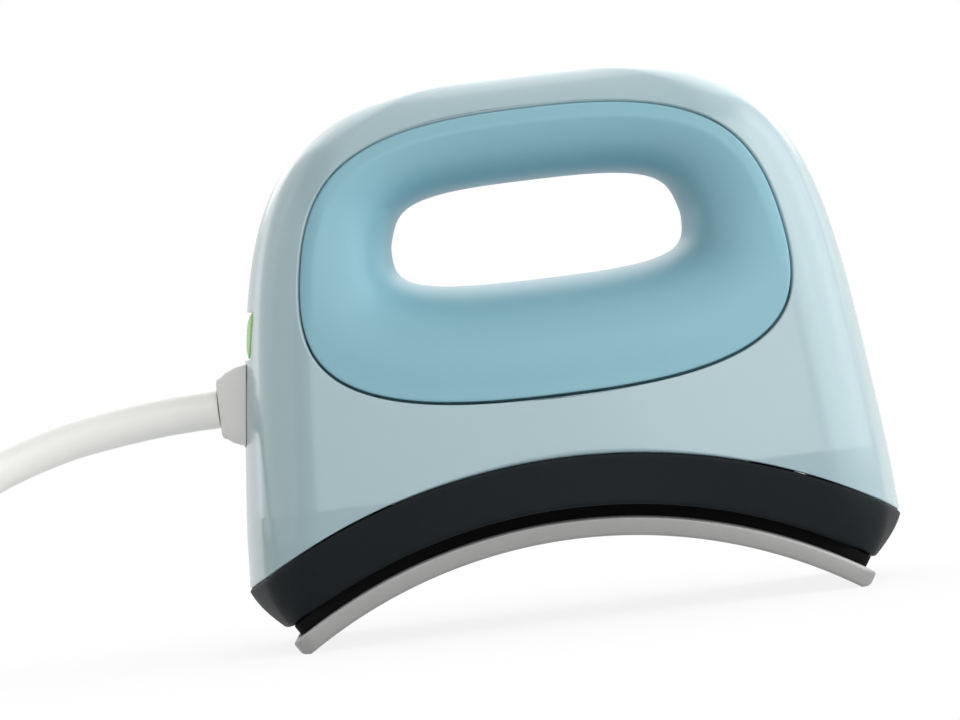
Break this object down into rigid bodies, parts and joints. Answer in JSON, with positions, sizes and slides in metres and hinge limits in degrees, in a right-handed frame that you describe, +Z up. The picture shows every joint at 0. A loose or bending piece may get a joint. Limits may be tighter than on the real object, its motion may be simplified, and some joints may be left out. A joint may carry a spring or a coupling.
{
  "type": "cap heat press",
  "caption": "Handheld heat press for caps: a curved heated plate under a rounded housing with a loop grip, side buttons and a coiled mains cord.",
  "frame": {"origin": "middle of the press at the level of the plate's two lower edges, on which it stands", "axes": "+Z up through the grip; +X along the press, away from the cord and the buttons; -Y is the pictured front"},
  "size_m": [0.351, 0.1205, 0.1201],
  "materials": {
    "gloss_blue": "gloss",
    "satin_blue": "satin",
    "black_plastic": "matte",
    "black_rubber": "matte",
    "plate_metal": "satin",
    "steel": "satin",
    "insulation": "matte",
    "board_green": "satin",
    "dark_part": "satin",
    "pale_part": "satin",
    "aluminium": "satin",
    "lit_green": "gloss",
    "button_grey": "satin",
    "grey_rubber": "satin",
    "cord_white": "satin",
    "tie_black": "matte",
    "brass": "satin",
    "lead_brown": "satin",
    "lead_blue": "satin",
    "lead_green": "satin",
    "lead_red": "satin"
  },
  "bodies": {
    "press": {"front_shell": "gloss_blue", "rear_shell": "gloss_blue", "front_grip_inlay": "satin_blue", "rear_grip_inlay": "satin_blue", "skirt": "black_plastic", "heat_plate": "plate_metal", "neck_seal": "black_rubber", "heating_element": "steel", "element_clamp": "steel", "insulation_pad": "insulation", "heat_shield": "aluminium", "thermostat": "dark_part", "thermal_fuse": "pale_part", "temperature_sensor": "steel", "control_board": "board_green", "power_relay": "dark_part", "transformer": "dark_part", "filter_capacitor": "dark_part", "triac_heat_sink": "aluminium", "mains_terminal": "pale_part", "heater_terminal": "pale_part", "radio_module": "steel", "buzzer": "dark_part", "switch_board": "board_green", "start_switch": "dark_part", "power_switch": "dark_part", "cord_gland": "grey_rubber", "cord_clamp": "dark_part", "cord_end": "cord_white", "live_lead": "lead_brown", "neutral_lead": "lead_blue", "earth_lead": "lead_green", "heater_lead_front": "lead_red", "heater_lead_rear": "lead_red", "sensor_lead": "lead_red", "switch_lead": "lead_red", "plate_screw_1": "steel", "plate_screw_2": "steel", "plate_screw_3": "steel", "plate_screw_4": "steel", "shell_screw_1": "steel", "shell_screw_2": "steel", "shell_screw_3": "steel", "shell_screw_4": "steel", "board_screw_1": "steel", "board_screw_2": "steel", "clamp_screw_1": "steel", "clamp_screw_2": "steel", "power_cord": "cord_white", "cord_coil": "cord_white", "coil_tie": "tie_black", "plug_body": "cord_white", "plug_blade_live": "brass", "plug_blade_neutral": "brass", "plug_earth_pin": "brass"},
    "start_key": {"start_button": "lit_green", "start_switch_plunger": "pale_part"},
    "power_key": {"power_button": "button_grey", "power_switch_plunger": "pale_part"}
  },
  "joints": [
    {"name": "start_press", "type": "slide", "parent": "press", "child": "start_key", "axis": [1, 0, 0], "range_m": [0, 0.0008], "stiffness_N_per_m": 400, "springref_m": -0.001},
    {"name": "power_press", "type": "slide", "parent": "press", "child": "power_key", "axis": [1, 0, 0], "range_m": [0, 0.0006], "stiffness_N_per_m": 400, "springref_m": -0.001}
  ]
}
